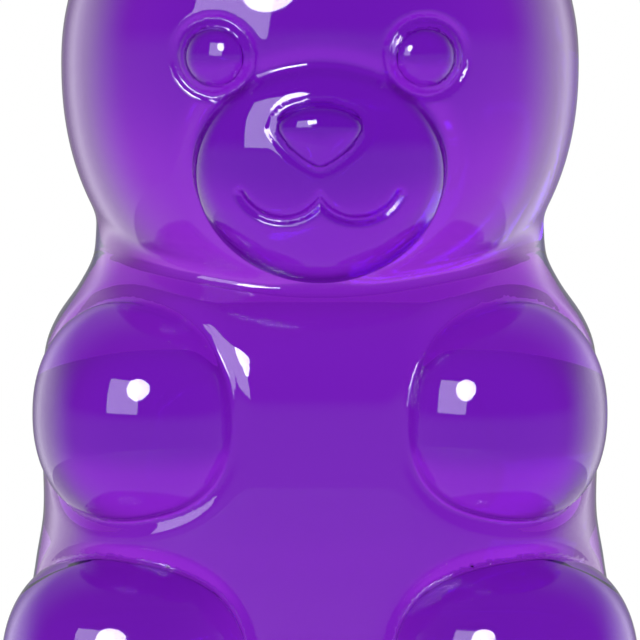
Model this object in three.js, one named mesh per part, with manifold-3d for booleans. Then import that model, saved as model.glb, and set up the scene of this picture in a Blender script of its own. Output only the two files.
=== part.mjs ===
// A gummy bear: rounded all round, with a small flat at the back, and standing on its flat base.
// Millimetres, +Z up, the face towards -Y. Each form is a function that is negative inside the sweet,
// the forms melt together with smooth unions, and a net of quads is drawn round the whole.
import * as THREE from "three";
import { mergeVertices } from "three/addons/utils/BufferGeometryUtils.js";
import Module from "manifold-3d";

const wasm = await Module();
wasm.setup();

// The bear is widest at its middle (y 0). Behind it the forms are flatter, and end at the flat back. The
// base plane is z = 0, and what has an x stands on both sides.
const BACK = 2.4;
const BACK_FULLNESS = 0.5;

// Rounded forms between an ellipsoid (powers 2) and a block: centre, radii and powers along X, Y and Z.
const HEAD = { at: [0, 0, 15.7], radii: [5.8, 6.6, 6.12], powers: [2.2, 2.9, 2.2] };
const CROWN_RADIUS = 5.17;
const HEAD_LEAN = 0.1;
const EAR = { at: [4.4, 0, 19.36], radii: [2.02, 2.8, 2.02], powers: [2.2, 2.2, 2.2] };
const EAR_DISH = { at: [4.66, -3.45, 19.47], radii: [1.28, 1.32, 1.28], powers: [2, 2, 2] };
const MUZZLE = { at: [0, -5.2, 14.08], radii: [2.96, 1.9, 2.94], powers: [2, 2, 2] };
const ARM = { at: [3.65, -3.35, 8.1], radii: [2.71, 3.1, 2.73], powers: [2.2, 2, 2.2] };
const LEG = { at: [4.18, -3.7, 2.55], radii: [2.86, 3.34, 2.64], powers: [2.3, 2.5, 2.3] };

// Trunk: height, half width and reach forward of the middle, from the base up into the head.
const TRUNK = [
  [-0.6, 5.6, 4.5],
  [0.55, 6.1, 4.9],
  [1.9, 6.35, 5.1],
  [3.4, 6.55, 5.2],
  [4.5, 6.42, 5.3],
  [5.6, 6.25, 5.5],
  [7, 6.26, 5.7],
  [8.5, 6.26, 5.75],
  [9.4, 6.17, 5.6],
  [10, 5.92, 5.35],
  [10.7, 5.44, 4.85],
  [11.3, 5.13, 4.1],
  [12.1, 4.95, 3.4],
  [13.5, 3.96, 2.9],
  [14.8, 2.64, 2],
];
const TRUNK_POWERS = [4, 2.3];
const TRUNK_TOP = 14.2;

// Face relief, measured forward from the surface: each eye and the nose is a dome in a ring groove.
const EYE = { x: 2.29, z: 16.15, radius: 0.64, rise: 0.28, ring: 0.77 };
const NOSE = { z: 14.63, halfWidth: 0.93, above: 0.55, below: 0.84, rise: 0.33, lean: 0.2, ring: 1.14 };
const NOSE_TIP_POWER = 1.4;
const MOUTH = { x: 0.82, z: 13.52, radius: 1.01, from: -150, to: -28 };
const EYE_RING_DEPTH = 0.1;
const NOSE_RING_DEPTH = 0.05;
const MOUTH_DEPTH = 0.12;
const GROOVE_WIDTH = 0.16;
const DOME_POWER = 0.75;

// How widely the forms melt into one another, and how round the edges of back and base are.
const EAR_BLEND = 0.57;
const DISH_BLEND = 0.3;
const NECK_BLEND = 0.4;
const ARM_BLEND = 0.22;
const LEG_BLEND = 0.25;
const MUZZLE_BLEND = 0.26;
const BACK_EDGE = 1.4;
const BASE_EDGE = 0.3;
const PLANE_MARGIN = 0.07;
const PLANE_SNAP = 0.04;

// Added to a form's slope, which is nil at its centre.
const LEAST_SLOPE = 0.001;

// Net: the cell size up to each grid line, from the low end. Fine cells cross the face, and the narrow
// gap between arms and legs.
const NET_ACROSS = { from: -7.9, spans: [[-3.2, 0.67], [3.2, 0.22], [7.9, 0.67]] };
const NET_DEPTH = { from: -8.4, spans: [[-7.8, 0.6], [-5.4, 0.3], [3, 0.76]] };
const NET_HEIGHT = { from: -0.9, spans: [[4.7, 0.66], [5.7, 0.33], [11.8, 0.66], [17, 0.22], [22, 0.68]] };
const SETTLE_LIMIT = 0.2;
const SETTLE_STEPS = 3;
const SETTLE_PROBE = 0.01;
const LEAST_STEEPNESS = 0.2;
const BLOCK_SIZE = 60;

const clamp = (value, low, high) => Math.min(Math.max(value, low), high);

// The smaller of two distances, rounded over where they are closer than the blend.
function smoothUnion(a, b, blend) {
  const share = clamp(0.5 + (0.5 * (b - a)) / blend, 0, 1);
  return b * (1 - share) + a * share - blend * share * (1 - share);
}

function smoothCut(a, b, blend) {
  return -smoothUnion(-a, -b, blend);
}

// Distance to a rounded form, near enough close to its surface.
function formDistance(form, x, y, z, radiusZ = form.radii[2]) {
  const radii = [form.radii[0], form.radii[1], radiusZ];
  const share = [x, y, z].map((v, i) => Math.abs(v - form.at[i]) / radii[i]);
  const size = share.reduce((sum, s, i) => sum + s ** form.powers[i], 0);
  const slope = Math.hypot(...share.map((s, i) => (form.powers[i] * s ** (form.powers[i] - 1)) / radii[i]));
  return (size - 1) / (slope + LEAST_SLOPE);
}

// A column of the trunk's table at a height, as a smooth curve through its points, with its slope.
function trunkAt(z, column) {
  const slopeAt = (i) => {
    const a = TRUNK[Math.max(i - 1, 0)];
    const b = TRUNK[Math.min(i + 1, TRUNK.length - 1)];
    return (b[column] - a[column]) / (b[0] - a[0]);
  };
  const next = TRUNK.findIndex((row) => row[0] > z);
  const i = clamp(next < 0 ? TRUNK.length - 2 : next - 1, 0, TRUNK.length - 2);
  const [low, high] = [TRUNK[i], TRUNK[i + 1]];
  const gap = high[0] - low[0];
  const t = clamp((z - low[0]) / gap, 0, 1);
  const [a, b, ma, mb] = [low[column], high[column], slopeAt(i) * gap, slopeAt(i + 1) * gap];
  const value = a + ma * t + (3 * (b - a) - 2 * ma - mb) * t ** 2 + (2 * (a - b) + ma + mb) * t ** 3;
  const slope = ma + 2 * (3 * (b - a) - 2 * ma - mb) * t + 3 * (2 * (a - b) + ma + mb) * t ** 2;
  return [value, slope / gap];
}

function trunkDistance(x, y, z) {
  const [width, widthSlope] = trunkAt(z, 1);
  const [reach, reachSlope] = trunkAt(z, 2);
  const [p, q] = TRUNK_POWERS;
  const across = Math.abs(x) / width;
  const forward = Math.abs(y) / reach;
  const slope = Math.hypot(
    (p * across ** (p - 1)) / width,
    (q * forward ** (q - 1)) / reach,
    (p * across ** p * widthSlope) / width + (q * forward ** q * reachSlope) / reach,
  );
  const side = (across ** p + forward ** q - 1) / (slope + LEAST_SLOPE);
  return smoothCut(side, z - TRUNK_TOP, NECK_BLEND / 2);
}

// Height of a rounded button, from 1 at its centre to 0 at its rim.
function dome(share) {
  return Math.max(0, 1 - share ** 2) ** DOME_POWER;
}

function groove(distance) {
  return Math.exp(-((distance / GROOVE_WIDTH) ** 2));
}

function eyeRelief(side, z) {
  const r = Math.hypot(side - EYE.x, z - EYE.z);
  return EYE.rise * dome(r / EYE.radius) - EYE_RING_DEPTH * groove(r - EYE.ring);
}

// The nose is round above and runs to a soft point below.
function noseRelief(side, z) {
  const up = z - NOSE.z;
  const height = up > 0 ? NOSE.above : NOSE.below;
  const power = up > 0 ? 2 : NOSE_TIP_POWER;
  const share = ((side / NOSE.halfWidth) ** power + (Math.abs(up) / height) ** power) ** (1 / power);
  const beyond = (share - NOSE.ring) * NOSE.below;
  return (NOSE.rise + NOSE.lean * up) * dome(share) - NOSE_RING_DEPTH * groove(beyond);
}

// Half of the smile: an arc that sags from the middle to the cheek.
function mouthRelief(side, z) {
  const [dx, dz] = [side - MOUTH.x, z - MOUTH.z];
  const [from, to] = [MOUTH.from, MOUTH.to].map(THREE.MathUtils.degToRad);
  const angle = Math.atan2(dz, dx);
  const endGap = (end) => Math.hypot(dx - MOUTH.radius * Math.cos(end), dz - MOUTH.radius * Math.sin(end));
  const onArc = angle > from && angle < to;
  const gap = onArc ? Math.abs(Math.hypot(dx, dz) - MOUTH.radius) : Math.min(endGap(from), endGap(to));
  return -MOUTH_DEPTH * groove(gap);
}

function bearDistance(x, fromMiddle, z) {
  const side = Math.abs(x);
  const y = fromMiddle > 0 ? fromMiddle / BACK_FULLNESS : fromMiddle;
  const face = y + eyeRelief(side, z) + noseRelief(side, z) + mouthRelief(side, z);
  const headHeight = z > HEAD.at[2] ? CROWN_RADIUS : HEAD.radii[2];
  let bear = formDistance(HEAD, side, face + HEAD_LEAN * (z - HEAD.at[2]), z, headHeight);
  bear = smoothUnion(bear, formDistance(EAR, side, y, z), EAR_BLEND);
  bear = smoothCut(bear, -formDistance(EAR_DISH, side, y, z), DISH_BLEND);
  bear = smoothUnion(bear, trunkDistance(side, y, z), NECK_BLEND);
  bear = smoothUnion(bear, formDistance(ARM, side, y, z), ARM_BLEND);
  bear = smoothUnion(bear, formDistance(LEG, side, y, z), LEG_BLEND);
  bear = smoothUnion(bear, formDistance(MUZZLE, side, face, z), MUZZLE_BLEND);
  bear = smoothCut(bear, fromMiddle - BACK - PLANE_MARGIN, BACK_EDGE);
  return smoothCut(bear, -z - PLANE_MARGIN, BASE_EDGE);
}

function gridLines({ from, spans }) {
  const lines = [from];
  for (const [to, cell] of spans) {
    const start = lines.at(-1);
    const steps = Math.round((to - start) / cell);
    for (let i = 1; i <= steps; i++) lines.push(start + ((to - start) * i) / steps);
  }
  return lines;
}

// Moves a point down the slope of the distance until it lies on the surface.
function settle(distance, start) {
  let point = start;
  for (let step = 0; step < SETTLE_STEPS; step++) {
    const slope = point.map((_, axis) => {
      const shifted = (by) => distance(...point.map((v, i) => (i === axis ? v + by : v)));
      return (shifted(SETTLE_PROBE) - shifted(-SETTLE_PROBE)) / (2 * SETTLE_PROBE);
    });
    const steepness = Math.max(LEAST_STEEPNESS, slope.reduce((sum, s) => sum + s * s, 0));
    const move = clamp(distance(...point), -SETTLE_LIMIT, SETTLE_LIMIT) / steepness;
    point = point.map((v, axis) => v - move * slope[axis]);
  }
  return point;
}

// A vertex that nearly lies on the back or base plane is put on it, so that cutting there leaves no slivers.
const snapTo = (plane, v) => (Math.abs(v - plane) < PLANE_SNAP ? plane : v);

// The strides across a grid edge's direction.
const facing = (strides, along) => [strides[(along + 1) % 3], strides[(along + 2) % 3]];

// A cell face with two opposite corners inside and the other two outside would pinch the net, so its
// corner nearest the surface changes sides.
function clearPinch(values, here, u, v) {
  const corners = [here, here + u, here + u + v, here + v];
  const inside = corners.map((index) => values[index] < 0);
  if (inside[0] !== inside[2] || inside[1] !== inside[3] || inside[0] === inside[1]) return;
  const nearest = corners.reduce((a, b) => (Math.abs(values[a]) < Math.abs(values[b]) ? a : b));
  values[nearest] = -values[nearest];
}

// One vertex in each cell that the surface passes through, at the mean of where it crosses the cell's
// edges, and two triangles round each grid edge that it crosses.
function surfaceNet(distance, axes) {
  const counts = axes.map((lines) => lines.length);
  const strides = [counts[1] * counts[2], counts[2], 1];
  const indexOf = (cell) => cell[0] * strides[0] + cell[1] * strides[1] + cell[2];
  const values = new Float64Array(counts[0] * counts[1] * counts[2]);
  const forEachCell = (margin, visit) => {
    for (let i = margin; i < counts[0] - 1; i++)
      for (let j = margin; j < counts[1] - 1; j++)
        for (let k = margin; k < counts[2] - 1; k++) visit([i, j, k]);
  };
  axes[0].forEach((x, i) =>
    axes[1].forEach((y, j) =>
      axes[2].forEach((z, k) => {
        values[indexOf([i, j, k])] = distance(x, y, z);
      }),
    ),
  );

  forEachCell(0, (cell) => {
    for (let along = 0; along < 3; along++) clearPinch(values, indexOf(cell), ...facing(strides, along));
  });

  const positions = [];
  const vertexOf = new Int32Array(values.length).fill(-1);
  forEachCell(0, (cell) => {
    const sum = [0, 0, 0];
    let crossings = 0;
    for (let edge = 0; edge < 12; edge++) {
      const along = Math.floor(edge / 4);
      const start = [...cell];
      start[(along + 1) % 3] += edge % 2;
      start[(along + 2) % 3] += Math.floor(edge / 2) % 2;
      const a = values[indexOf(start)];
      const b = values[indexOf(start) + strides[along]];
      if (a < 0 === b < 0) continue;
      const point = start.map((line, axis) => axes[axis][line]);
      point[along] += (a / (a - b)) * (axes[along][start[along] + 1] - point[along]);
      point.forEach((v, axis) => (sum[axis] += v));
      crossings++;
    }
    if (!crossings) return;
    vertexOf[indexOf(cell)] = positions.length / 3;
    const [x, y, z] = settle(distance, sum.map((v) => v / crossings));
    positions.push(x, snapTo(BACK, y), snapTo(0, z));
  });

  const triangles = [];
  const gap = (a, b) =>
    Math.hypot(...[0, 1, 2].map((axis) => positions[3 * a + axis] - positions[3 * b + axis]));
  forEachCell(1, (cell) => {
    const here = indexOf(cell);
    for (let along = 0; along < 3; along++) {
      const inside = values[here] < 0;
      if (inside === values[here + strides[along]] < 0) continue;
      const [u, v] = facing(strides, along);
      const ring = [here - u - v, here - v, here, here - u].map((index) => vertexOf[index]);
      if (!inside) ring.reverse();
      if (gap(ring[0], ring[2]) > gap(ring[1], ring[3])) ring.push(ring.shift());
      triangles.push(ring[0], ring[1], ring[2], ring[0], ring[2], ring[3]);
    }
  });

  const geometry = new THREE.BufferGeometry();
  geometry.setAttribute("position", new THREE.Float32BufferAttribute(positions, 3));
  geometry.setIndex(triangles);
  return geometry;
}

function toSolid(geometry) {
  const bare = geometry.clone();
  bare.deleteAttribute("normal");
  bare.deleteAttribute("uv");
  const merged = mergeVertices(bare);
  return new wasm.Manifold(
    new wasm.Mesh({
      numProp: 3,
      vertProperties: merged.attributes.position.array,
      triVerts: new Uint32Array(merged.index.array),
    }),
  );
}

function toGeometry(solid) {
  const { vertProperties, triVerts } = solid.getMesh();
  const geometry = new THREE.BufferGeometry();
  geometry.setAttribute("position", new THREE.BufferAttribute(vertProperties, 3));
  geometry.setIndex(new THREE.BufferAttribute(triVerts, 1));
  geometry.computeVertexNormals();
  return geometry;
}

// A block that fills the half space beyond a plane, as far as the bear can reach.
function blockBeyond(axis, plane, direction) {
  const block = new THREE.BoxGeometry(BLOCK_SIZE, BLOCK_SIZE, BLOCK_SIZE);
  const offset = new THREE.Vector3();
  offset.setComponent(axis, plane + (direction * BLOCK_SIZE) / 2);
  return toSolid(block.translate(offset.x, offset.y, offset.z));
}

function bearGeometry() {
  const axes = [NET_ACROSS, NET_DEPTH, NET_HEIGHT].map(gridLines);
  const cast = toSolid(surfaceNet(bearDistance, axes));
  const standing = cast.subtract(blockBeyond(1, BACK, 1)).subtract(blockBeyond(2, 0, -1));
  const geometry = toGeometry(standing);
  geometry.computeBoundingBox();
  const middle = geometry.boundingBox.getCenter(new THREE.Vector3());
  return geometry.translate(-middle.x, -middle.y, 0);
}

const GUMMY = new THREE.MeshStandardMaterial({ color: 0x822dc8, roughness: 0.15, metalness: 0 });

const bear = new THREE.Mesh(bearGeometry(), GUMMY);
bear.name = "gummy_bear";

const part = new THREE.Group();
part.add(bear);

export default part;
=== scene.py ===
"""A purple gummy bear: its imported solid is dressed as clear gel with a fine, smooth skin.

The form repeats the part's own sizes in millimetres, with y from the bear's middle forward to the face
(negative) and z up from the base, and MM turns them into Blender's metres.
"""

import math

import bpy
import numpy as np
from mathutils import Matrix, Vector

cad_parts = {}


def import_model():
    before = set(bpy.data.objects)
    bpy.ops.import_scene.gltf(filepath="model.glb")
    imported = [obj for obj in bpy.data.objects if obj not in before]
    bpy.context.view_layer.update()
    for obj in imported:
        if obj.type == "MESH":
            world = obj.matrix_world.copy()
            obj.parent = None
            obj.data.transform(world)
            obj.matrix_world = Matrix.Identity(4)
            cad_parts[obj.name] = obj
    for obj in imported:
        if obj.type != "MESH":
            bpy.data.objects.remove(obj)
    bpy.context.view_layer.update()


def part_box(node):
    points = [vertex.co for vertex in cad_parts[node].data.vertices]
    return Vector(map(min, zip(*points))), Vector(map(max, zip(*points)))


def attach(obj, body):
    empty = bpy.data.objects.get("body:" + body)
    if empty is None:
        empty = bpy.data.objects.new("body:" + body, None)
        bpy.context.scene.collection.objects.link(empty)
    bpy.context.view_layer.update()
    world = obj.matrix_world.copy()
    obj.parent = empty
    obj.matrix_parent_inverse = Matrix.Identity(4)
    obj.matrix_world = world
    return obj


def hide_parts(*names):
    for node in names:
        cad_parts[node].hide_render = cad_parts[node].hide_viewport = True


MM = 0.001

# The bear is widest at its middle (y 0). Behind it the forms are half as deep, and end at the flat back.
BACK = 2.4
BACK_FULLNESS = 0.5

# Rounded forms between an ellipsoid (powers 2) and a block: centre, radii and powers along X, Y and Z.
HEAD = {"at": (0, 0, 15.7), "radii": (5.8, 6.6, 6.12), "powers": (2.2, 2.9, 2.2)}
CROWN_RADIUS = 5.17
HEAD_LEAN = 0.1
EAR = {"at": (4.4, 0, 19.36), "radii": (2.02, 2.8, 2.02), "powers": (2.2, 2.2, 2.2)}
EAR_DISH = {"at": (4.66, -3.45, 19.47), "radii": (1.28, 1.32, 1.28), "powers": (2, 2, 2)}
MUZZLE = {"at": (0, -5.2, 14.08), "radii": (2.96, 1.9, 2.94), "powers": (2, 2, 2)}
ARM = {"at": (3.65, -3.35, 8.1), "radii": (2.71, 3.1, 2.73), "powers": (2.2, 2, 2.2)}
LEG = {"at": (4.18, -3.7, 2.55), "radii": (2.86, 3.34, 2.64), "powers": (2.3, 2.5, 2.3)}

# Trunk: height, half width and reach forward of the middle, from the base up into the head.
TRUNK = np.array(
    [
        (-0.6, 5.6, 4.5),
        (0.55, 6.1, 4.9),
        (1.9, 6.35, 5.1),
        (3.4, 6.55, 5.2),
        (4.5, 6.42, 5.3),
        (5.6, 6.25, 5.5),
        (7, 6.26, 5.7),
        (8.5, 6.26, 5.75),
        (9.4, 6.17, 5.6),
        (10, 5.92, 5.35),
        (10.7, 5.44, 4.85),
        (11.3, 5.13, 4.1),
        (12.1, 4.95, 3.4),
        (13.5, 3.96, 2.9),
        (14.8, 2.64, 2),
    ]
)
TRUNK_POWERS = (4, 2.3)
TRUNK_TOP = 14.2

# Face relief, measured forward from the surface: each eye and the nose is a dome in a ring groove. A fine
# groove also runs along the seams where the limbs and the muzzle join the bear.
EYE = {"x": 2.29, "z": 16.13, "radius": 0.64, "rise": 0.37, "ring": 0.84}
NOSE = {"z": 14.63, "half_width": 0.93, "above": 0.55, "below": 0.84, "rise": 0.45, "lean": 0.2, "ring": 1.14}
NOSE_TIP_POWER = 1.4
MOUTH = {"x": 0.82, "z": 13.64, "radius": 1.01, "from": -150, "to": -28}
EYE_RING_DEPTH = 0.1
NOSE_RING_DEPTH = 0.03
MOUTH_DEPTH = 0.14
GROOVE_WIDTH = 0.1
SEAM_DEPTH = 0.16
SEAM_WIDTH = 0.15

# How widely the forms melt into one another, and how round the edges of back and base are.
EAR_BLEND = 0.57
DISH_BLEND = 0.3
NECK_BLEND = 0.4
ARM_BLEND = 0.22
LEG_BLEND = 0.25
MUZZLE_BLEND = 0.26
BACK_EDGE = 1.4
BASE_EDGE = 0.3

# Net: the cell size up to each grid line, from the low end, with fine cells across the face.
NET_ACROSS = {"from": -7.5, "spans": ((-3.3, 0.13), (3.3, 0.075), (7.5, 0.13))}
NET_DEPTH = {"from": -8.4, "spans": ((-4.7, 0.1), (2.7, 0.22))}
NET_HEIGHT = {"from": -0.3, "spans": ((4.8, 0.125), (6.3, 0.08), (11, 0.125), (17.2, 0.075), (21.7, 0.16))}

# Settling the net: its steps, the furthest move in one, the reach of the probe for the slope, and the least
# steepness counted. The last two keep divisions finite where a form has no slope or no size.
SETTLE_STEPS = 4
SETTLE_LIMIT = 0.08
PROBE = 0.01
LEAST_STEEPNESS = 0.2
LEAST_SLOPE = 1e-3
TINY = 1e-6

# Gel: how much of the light's red, green and blue each millimetre takes, and its refraction. Its skin has
# faint waves, with their height in millimetres, and its roughness changes with them.
ABSORPTION_PER_MM = np.array((0.182, 0.53, 0.068))
GEL_IOR = 1.45
WAVES_PER_MM = 0.35
WAVE_DETAIL = 2.0
WAVE_HEIGHT = 0.1
WAVE_STRENGTH = 0.03
GEL_ROUGHNESS = (0.015, 0.05)

# The photograph's frame: its width at the bear, the height of its centre, and the view down on it.
FRAME_WIDTH = 14.08
FRAME_CENTRE_HEIGHT = 10.23
FRAME_CENTRE_DEPTH = 4
VIEW_ELEVATION = 5
VIEW_DISTANCE = 150
SENSOR_WIDTH = 36
VIEW_REACH = 10

# Floor: its radius, and how far in front of and behind its centre its painted light changes, are in multiples
# of the bear's height. The painted light, a glow that no lamp casts on it, is given in front and behind.
FLOOR_RADIUS = 1.0
PAINTED_LIGHT_REACH = 0.4
FLOOR_SIDES = 128
FLOOR_GREY = 0.2
FLOOR_ROUGHNESS = 0.7
FLOOR_PAINTED_LIGHT = (0.15, 0.6)

# Lights: their angles are in degrees, and their distance and size in multiples of the bear's height.
LIGHT_DISTANCE = 4
SOFTBOX = {"shape": "RECTANGLE", "azimuth": -30, "elevation": 18, "size": (2.25, 2.3), "radiance": 5.5}
LAMP = {"shape": "ELLIPSE", "azimuth": -16, "elevation": 25.5, "size": (1.35, 1.6), "radiance": 25}

# Room, by the direction seen: y runs from -1 in front of the bear to 1 behind it, and z from -1 below to 1
# above. A step is where a change starts and ends, and the first two also say the brightness before and after.
MIRRORED_FRONT = (-0.1, 0.1, 0.45, 0.1)
MIRRORED_PANELS = (0.0, 0.6, 1.7, 0.4)
SIDES_STEP = (-0.1, 0.6)
BACK_STEP = (0.8, 0.97)
MIRRORED_BACK = 0.3
WALL = (1.12, 1.38, 1.08)
CEILING_STEP = (0.42, 0.65)
CEILING = (0.75, 0.75, 0.75)
HORIZON_STEP = (-0.04, 0.12)
# Ground below the horizon: dimmer, with a lilac tint that is a painted shadow of the gel on the table.
GROUND_AND_PAINTED_SHADOW = (0.8, 0.72, 0.88)
STRAIGHT_STEP = (0.78, 0.97)
SIDE_WALLS = (0.5, 0.5, 0.5)
WHITE = (1.0, 1.0, 1.0)


def smooth_union(a, b, blend):
    """The smaller of two distances, rounded over where they are closer than the blend."""
    share = np.clip(0.5 + 0.5 * (b - a) / blend, 0, 1)
    return b * (1 - share) + a * share - blend * share * (1 - share)


def smooth_cut(a, b, blend):
    """The larger of two distances, rounded over in the same way."""
    return -smooth_union(-a, -b, blend)


def form_distance(form, x, y, z, radius_z=None):
    """Distance to a rounded form, near enough close to its surface."""
    radii = (*form["radii"][:2], form["radii"][2] if radius_z is None else radius_z)
    total, steepness = -1, TINY
    for value, centre, radius, power in zip((x, y, z), form["at"], radii, form["powers"]):
        share = np.abs(value - centre) / radius
        total = total + share**power
        steepness = steepness + (power * share ** (power - 1) / radius) ** 2
    return total / np.sqrt(steepness)


def trunk_at(z, column):
    """A column of the trunk's table at heights, as a smooth curve through its points, with its slope."""
    heights, values = TRUNK[:, 0], TRUNK[:, column]
    below = np.maximum(np.arange(len(TRUNK)) - 1, 0)
    above = np.minimum(np.arange(len(TRUNK)) + 1, len(TRUNK) - 1)
    slopes = (values[above] - values[below]) / (heights[above] - heights[below])
    i = np.clip(np.searchsorted(heights, z, side="right") - 1, 0, len(TRUNK) - 2)
    gap = heights[i + 1] - heights[i]
    t = np.clip((z - heights[i]) / gap, 0, 1)
    rise = values[i + 1] - values[i]
    start, end = slopes[i] * gap, slopes[i + 1] * gap
    square, cube = 3 * rise - 2 * start - end, start + end - 2 * rise
    value = values[i] + start * t + square * t**2 + cube * t**3
    slope = start + 2 * square * t + 3 * cube * t**2
    return value, slope / gap


def trunk_distance(x, y, z):
    width, width_slope = trunk_at(z, 1)
    reach, reach_slope = trunk_at(z, 2)
    p, q = TRUNK_POWERS
    across = np.abs(x) / width + TINY
    forward = np.abs(y) / reach + TINY
    size = across**p + forward**q
    climb = p * across**p * width_slope / width + q * forward**q * reach_slope / reach
    slope = np.sqrt((p * across ** (p - 1) / width) ** 2 + (q * forward ** (q - 1) / reach) ** 2 + climb**2)
    side = (size - 1) / (slope + LEAST_SLOPE)
    return smooth_cut(side, z - TRUNK_TOP, NECK_BLEND / 2)


def dome(share):
    """Height of a round button, from 1 at its centre to 0 at its rim."""
    return np.sqrt(np.maximum(0, 1 - share**2))


def groove(distance, width=GROOVE_WIDTH):
    """Depth of a round-bottomed groove, from 1 along its line to 0 well away from it."""
    return np.exp(-((distance / width) ** 2))


def eye_relief(side, z):
    r = np.hypot(side - EYE["x"], z - EYE["z"])
    return EYE["rise"] * dome(r / EYE["radius"]) - EYE_RING_DEPTH * groove(r - EYE["ring"])


def nose_relief(side, z):
    """The nose is round above and runs to a soft point below."""
    up = z - NOSE["z"]
    height = np.where(up > 0, NOSE["above"], NOSE["below"])
    power = np.where(up > 0, 2, NOSE_TIP_POWER)
    share = ((side / NOSE["half_width"]) ** power + (np.abs(up) / height) ** power) ** (1 / power)
    beyond = (share - NOSE["ring"]) * NOSE["below"]
    return (NOSE["rise"] + NOSE["lean"] * up) * dome(share) - NOSE_RING_DEPTH * groove(beyond)


def mouth_relief(side, z):
    """Half of the smile: an arc that sags from the middle to the cheek."""
    dx, dz = side - MOUTH["x"], z - MOUTH["z"]
    start, end = math.radians(MOUTH["from"]), math.radians(MOUTH["to"])
    angle = np.arctan2(dz, dx)
    radius = MOUTH["radius"]
    tips = [np.hypot(dx - radius * math.cos(a), dz - radius * math.sin(a)) for a in (start, end)]
    on_arc = (angle > start) & (angle < end)
    gap = np.where(on_arc, np.abs(np.hypot(dx, dz) - radius), np.minimum(*tips))
    return -MOUTH_DEPTH * groove(gap)


def join(bear, form, blend):
    """A form melted into the bear, with a fine groove along the seam."""
    seam = groove(bear - form, SEAM_WIDTH)
    return smooth_union(bear, form, blend) + SEAM_DEPTH * seam


def bear_distance(x, from_middle, z):
    """Distance to the whole bear, negative inside, from millimetres across, behind its middle and up."""
    side = np.abs(x)
    y = np.where(from_middle > 0, from_middle / BACK_FULLNESS, from_middle)
    face = y + eye_relief(side, z) + nose_relief(side, z) + mouth_relief(side, z)
    head_height = np.where(z > HEAD["at"][2], CROWN_RADIUS, HEAD["radii"][2])
    bear = form_distance(HEAD, side, face + HEAD_LEAN * (z - HEAD["at"][2]), z, head_height)
    bear = smooth_union(bear, form_distance(EAR, side, y, z), EAR_BLEND)
    bear = smooth_cut(bear, -form_distance(EAR_DISH, side, y, z), DISH_BLEND)
    bear = smooth_union(bear, trunk_distance(side, y, z), NECK_BLEND)
    bear = join(bear, form_distance(ARM, side, y, z), ARM_BLEND)
    bear = join(bear, form_distance(LEG, side, y, z), LEG_BLEND)
    bear = join(bear, form_distance(MUZZLE, side, face, z), MUZZLE_BLEND)
    bear = smooth_cut(bear, from_middle - BACK, BACK_EDGE)
    return smooth_cut(bear, -z, BASE_EDGE)


def grid_lines(net):
    """The net's grid lines along one axis, evenly spaced within each of its spans."""
    lines = [net["from"]]
    for to, cell in net["spans"]:
        steps = round((to - lines[-1]) / cell)
        lines.extend(np.linspace(lines[-1], to, steps + 1)[1:])
    return np.array(lines)


def surface_net(distance, axes):
    """One vertex in each cell that the surface passes through, at the mean of where it crosses the cell's
    edges, and a quad round each grid edge that it crosses."""
    values = distance(*np.meshgrid(*axes, indexing="ij"))
    inside = values < 0
    cells_shape = tuple(n - 1 for n in values.shape)
    corners = [(i, j, k) for i in (0, 1) for j in (0, 1) for k in (0, 1)]

    def at_corner(grid, corner):
        return grid[tuple(slice(c, n + c) for c, n in zip(corner, cells_shape))]

    count = sum(at_corner(inside, corner).astype(np.int8) for corner in corners)
    cells = np.argwhere((count > 0) & (count < len(corners)))
    vertex_of = np.full(cells_shape, -1)
    vertex_of[tuple(cells.T)] = np.arange(len(cells))

    total = np.zeros((len(cells), 3))
    crossings = np.zeros(len(cells))
    for corner in corners:
        for along in range(3):
            if corner[along]:
                continue
            start = cells + corner
            end = start + np.eye(3, dtype=int)[along]
            a, b = values[tuple(start.T)], values[tuple(end.T)]
            crossed = (a < 0) != (b < 0)
            share = np.where(crossed, a / np.where(crossed, a - b, 1), 0)
            for axis in range(3):
                low, high = axes[axis][start[:, axis]], axes[axis][end[:, axis]]
                total[:, axis] += np.where(crossed, low + share * (high - low), 0)
            crossings += crossed
    vertices = total / crossings[:, None]

    quads = []
    for along in range(3):
        u, v = (along + 1) % 3, (along + 2) % 3
        low = tuple(slice(0, -1) if axis == along else slice(None) for axis in range(3))
        high = tuple(slice(1, None) if axis == along else slice(None) for axis in range(3))
        edges = np.argwhere(inside[low] != inside[high])
        ring = []
        for back_u, back_v in ((1, 1), (0, 1), (0, 0), (1, 0)):
            cell = edges.copy()
            cell[:, u] -= back_u
            cell[:, v] -= back_v
            ring.append(vertex_of[tuple(cell.T)])
        ring = np.stack(ring, axis=1)
        leaving = inside[low][tuple(edges.T)]
        quads.append(np.where(leaving[:, None], ring, ring[:, ::-1]))
    return vertices, np.concatenate(quads)


def slope_of(distance, points):
    """How steeply the distance climbs at points, along X, Y and Z."""
    slope = np.empty_like(points)
    for axis in range(3):
        shift = PROBE * np.eye(3)[axis]
        ahead, behind = distance(*(points + shift).T), distance(*(points - shift).T)
        slope[:, axis] = (ahead - behind) / (2 * PROBE)
    return slope


def settle(distance, points):
    """Moves points down the slope of the distance until they lie on the surface."""
    for _ in range(SETTLE_STEPS):
        slope = slope_of(distance, points)
        steepness = np.maximum((slope**2).sum(axis=1), LEAST_STEEPNESS)
        move = np.clip(distance(*points.T), -SETTLE_LIMIT, SETTLE_LIMIT) / steepness
        points = points - slope * move[:, None]
    return points


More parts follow.
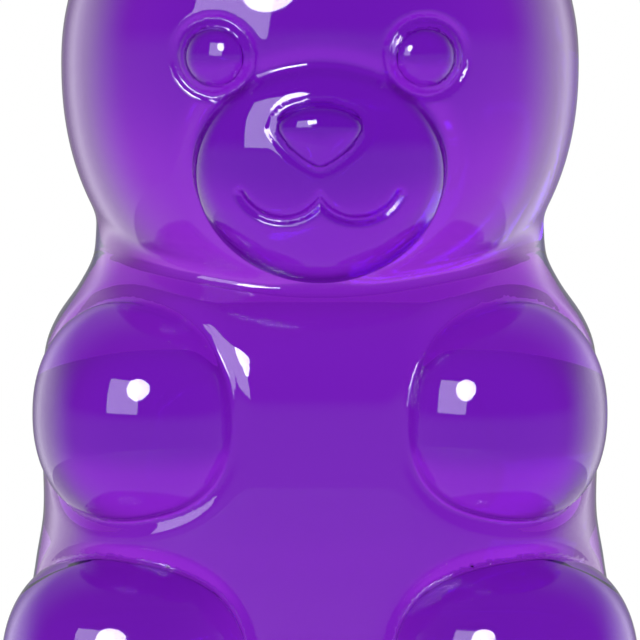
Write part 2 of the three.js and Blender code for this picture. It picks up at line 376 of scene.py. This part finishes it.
def make_bear(low, high):
    """The bear as one smooth mesh, its flat back and base on those of the solid that it replaces."""
    axes = [grid_lines(net) for net in (NET_ACROSS, NET_DEPTH, NET_HEIGHT)]
    vertices, quads = surface_net(bear_distance, axes)
    vertices = settle(bear_distance, vertices)
    slope = slope_of(bear_distance, vertices)
    normals = slope / np.linalg.norm(slope, axis=1)[:, None]
    vertices = vertices * MM + ((low[0] + high[0]) / 2, high[1] - BACK * MM, low[2])
    mesh = bpy.data.meshes.new("bear_gel")
    mesh.from_pydata(vertices.tolist(), [], quads.tolist())
    mesh.shade_smooth()
    mesh.normals_split_custom_set_from_vertices(normals.tolist())
    bear = bpy.data.objects.new("bear_gel", mesh)
    bpy.context.scene.collection.objects.link(bear)
    return bear


def new_node(tree, kind, **inputs):
    """A node with some of its inputs set, each named with _ for a space."""
    node = tree.nodes.new(kind)
    for name, value in inputs.items():
        node.inputs[name.replace("_", " ")].default_value = value
    return node


def map_range(tree, value, start, end, low, high):
    """A smooth step of a socket's value from low to high, which are numbers or sockets."""
    node = new_node(tree, "ShaderNodeMapRange", From_Min=start, From_Max=end)
    node.interpolation_type = "SMOOTHSTEP"
    tree.links.new(value, node.inputs["Value"])
    for name, bound in (("To Min", low), ("To Max", high)):
        if isinstance(bound, (int, float)):
            node.inputs[name].default_value = bound
        else:
            tree.links.new(bound, node.inputs[name])
    return node.outputs["Result"]


def blend_colours(tree, share, low, high):
    """A mix of two colours, which are tuples or sockets, by a socket's value from 0 to 1."""
    mix = tree.nodes.new("ShaderNodeMix")
    mix.data_type = "RGBA"
    tree.links.new(share, mix.inputs["Factor"])
    for socket, colour in ((mix.inputs[6], low), (mix.inputs[7], high)):
        if isinstance(colour, tuple):
            socket.default_value = (*colour, 1)
        else:
            tree.links.new(colour, socket)
    return mix.outputs[2]


def gel_material():
    """Clear gel: purple by what it absorbs, with a glossy and very faintly uneven skin."""
    material = bpy.data.materials.new("gel")
    material.use_nodes = True
    tree = material.node_tree
    shader = tree.nodes["Principled BSDF"]
    shader.inputs["Base Color"].default_value = (1, 1, 1, 1)
    shader.inputs["Transmission Weight"].default_value = 1
    shader.inputs["IOR"].default_value = GEL_IOR

    place = tree.nodes.new("ShaderNodeTexCoord")
    waves = new_node(tree, "ShaderNodeTexNoise", Scale=WAVES_PER_MM / MM, Detail=WAVE_DETAIL)
    tree.links.new(place.outputs["Object"], waves.inputs["Vector"])
    skin = new_node(tree, "ShaderNodeBump", Strength=WAVE_STRENGTH, Distance=WAVE_HEIGHT * MM)
    tree.links.new(waves.outputs["Fac"], skin.inputs["Height"])
    tree.links.new(skin.outputs["Normal"], shader.inputs["Normal"])
    smoothest, roughest = GEL_ROUGHNESS
    dullness = new_node(tree, "ShaderNodeMapRange", To_Min=smoothest, To_Max=roughest)
    tree.links.new(waves.outputs["Fac"], dullness.inputs["Value"])
    tree.links.new(dullness.outputs["Result"], shader.inputs["Roughness"])

    density = ABSORPTION_PER_MM.max() / MM
    colour = (*(1 - ABSORPTION_PER_MM / MM / density), 1)
    absorption = new_node(tree, "ShaderNodeVolumeAbsorption", Color=colour, Density=density)
    tree.links.new(absorption.outputs["Volume"], tree.nodes["Material Output"].inputs["Volume"])
    return material


def make_floor(height):
    """A pale disc with painted light: it glows a little, and more towards the back, standing in for a table
    lit from behind.
    """
    bpy.ops.mesh.primitive_circle_add(vertices=FLOOR_SIDES, radius=FLOOR_RADIUS * height, fill_type="NGON")
    floor = bpy.context.object
    floor.name = "floor"
    material = bpy.data.materials.new("floor")
    material.use_nodes = True
    tree = material.node_tree
    shader = tree.nodes["Principled BSDF"]
    shader.inputs["Base Color"].default_value = (FLOOR_GREY, FLOOR_GREY, FLOOR_GREY, 1)
    shader.inputs["Roughness"].default_value = FLOOR_ROUGHNESS
    shader.inputs["Emission Color"].default_value = (*WHITE, 1)
    place = tree.nodes.new("ShaderNodeTexCoord")
    axes = tree.nodes.new("ShaderNodeSeparateXYZ")
    tree.links.new(place.outputs["Object"], axes.inputs["Vector"])
    reach = PAINTED_LIGHT_REACH * height
    # Painted light: the floor's glow is dim in front and brighter behind, in place of light falling on it.
    glow = map_range(tree, axes.outputs["Y"], -reach, reach, *FLOOR_PAINTED_LIGHT)
    tree.links.new(glow, shader.inputs["Emission Strength"])
    floor.data.materials.append(material)


def make_world():
    """A white room that the camera sees as plain white. The skin mirrors it as dark in front, with pale
    panels at the sides, and dim straight behind, which draws a fine dark outline. Through the gel it is a
    bright wall straight ahead, dimmer towards the ceiling and at the sides, and dimmer and lilac below the
    horizon, where the lilac is a painted shadow of the gel on the table."""
    world = bpy.data.worlds.new("room")
    bpy.context.scene.world = world
    world.use_nodes = True
    tree = world.node_tree
    tree.nodes.clear()
    place = tree.nodes.new("ShaderNodeTexCoord")
    axes = tree.nodes.new("ShaderNodeSeparateXYZ")
    tree.links.new(place.outputs["Generated"], axes.inputs["Vector"])
    y, z = axes.outputs["Y"], axes.outputs["Z"]

    front = map_range(tree, z, *MIRRORED_FRONT)
    panels = map_range(tree, z, *MIRRORED_PANELS)
    sides = map_range(tree, y, *SIDES_STEP, front, panels)
    mirrored = map_range(tree, y, *BACK_STEP, sides, MIRRORED_BACK)

    above = map_range(tree, z, *CEILING_STEP, 0, 1)
    upper = blend_colours(tree, above, WALL, CEILING)
    over_horizon = map_range(tree, z, *HORIZON_STEP, 0, 1)
    # Below the horizon the gel sees the ground with its painted lilac shadow.
    ahead = blend_colours(tree, over_horizon, GROUND_AND_PAINTED_SHADOW, upper)
    straight = tree.nodes.new("ShaderNodeMath")
    straight.operation = "ABSOLUTE"
    tree.links.new(y, straight.inputs[0])
    facing = map_range(tree, straight.outputs["Value"], *STRAIGHT_STEP, 0, 1)
    through = blend_colours(tree, facing, SIDE_WALLS, ahead)

    path = tree.nodes.new("ShaderNodeLightPath")
    seen = blend_colours(tree, path.outputs["Is Glossy Ray"], WHITE, mirrored)
    seen = blend_colours(tree, path.outputs["Is Transmission Ray"], seen, through)
    room = tree.nodes.new("ShaderNodeBackground")
    tree.links.new(seen, room.inputs["Color"])
    output = tree.nodes.new("ShaderNodeOutputWorld")
    tree.links.new(room.outputs["Background"], output.inputs["Surface"])


def towards(azimuth, elevation):
    """Unit vector from the bear: azimuth 0 is in front of its face, positive to its +X side."""
    turn, rise = math.radians(azimuth), math.radians(elevation)
    return Vector((math.sin(turn) * math.cos(rise), -math.cos(turn) * math.cos(rise), math.sin(rise)))


def aim(thing, centre, way, distance):
    thing.location = centre + way * distance
    thing.rotation_euler = way.to_track_quat("Z", "Y").to_euler()


def make_light(name, centre, height, shape, azimuth, elevation, size, radiance):
    """An area light that faces the bear, its size in multiples of the bear's height."""
    light = bpy.data.lights.new(name, "AREA")
    light.shape = shape
    light.size, light.size_y = size[0] * height, size[1] * height
    area = light.size * light.size_y * (math.pi / 4 if shape == "ELLIPSE" else 1)
    light.energy = radiance * math.pi * area
    lamp = bpy.data.objects.new(name, light)
    bpy.context.scene.collection.objects.link(lamp)
    lamp.visible_camera = False
    aim(lamp, centre, towards(azimuth, elevation), LIGHT_DISTANCE * height)


def make_camera(back):
    camera = bpy.data.cameras.new("camera")
    viewer = bpy.data.objects.new("camera", camera)
    bpy.context.scene.collection.objects.link(viewer)
    centre = Vector((0, back - (BACK + FRAME_CENTRE_DEPTH) * MM, FRAME_CENTRE_HEIGHT * MM))
    aim(viewer, centre, towards(0, VIEW_ELEVATION), VIEW_DISTANCE * MM)
    camera.sensor_width = SENSOR_WIDTH
    camera.lens = SENSOR_WIDTH * VIEW_DISTANCE / FRAME_WIDTH
    camera.clip_start = MM
    camera.clip_end = VIEW_REACH
    bpy.context.scene.camera = viewer


def main():
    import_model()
    low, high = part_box("gummy_bear")
    height = high[2] - low[2]

    bear = make_bear(low, high)
    bear.data.materials.append(gel_material())
    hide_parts("gummy_bear")
    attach(bear, "root")

    make_floor(height)
    make_world()
    centre = Vector((0, 0, height / 2))
    make_light("softbox", centre, height, **SOFTBOX)
    make_light("lamp", centre, height, **LAMP)
    make_camera(high[1])
    bpy.context.scene.view_settings.view_transform = "Standard"


main()
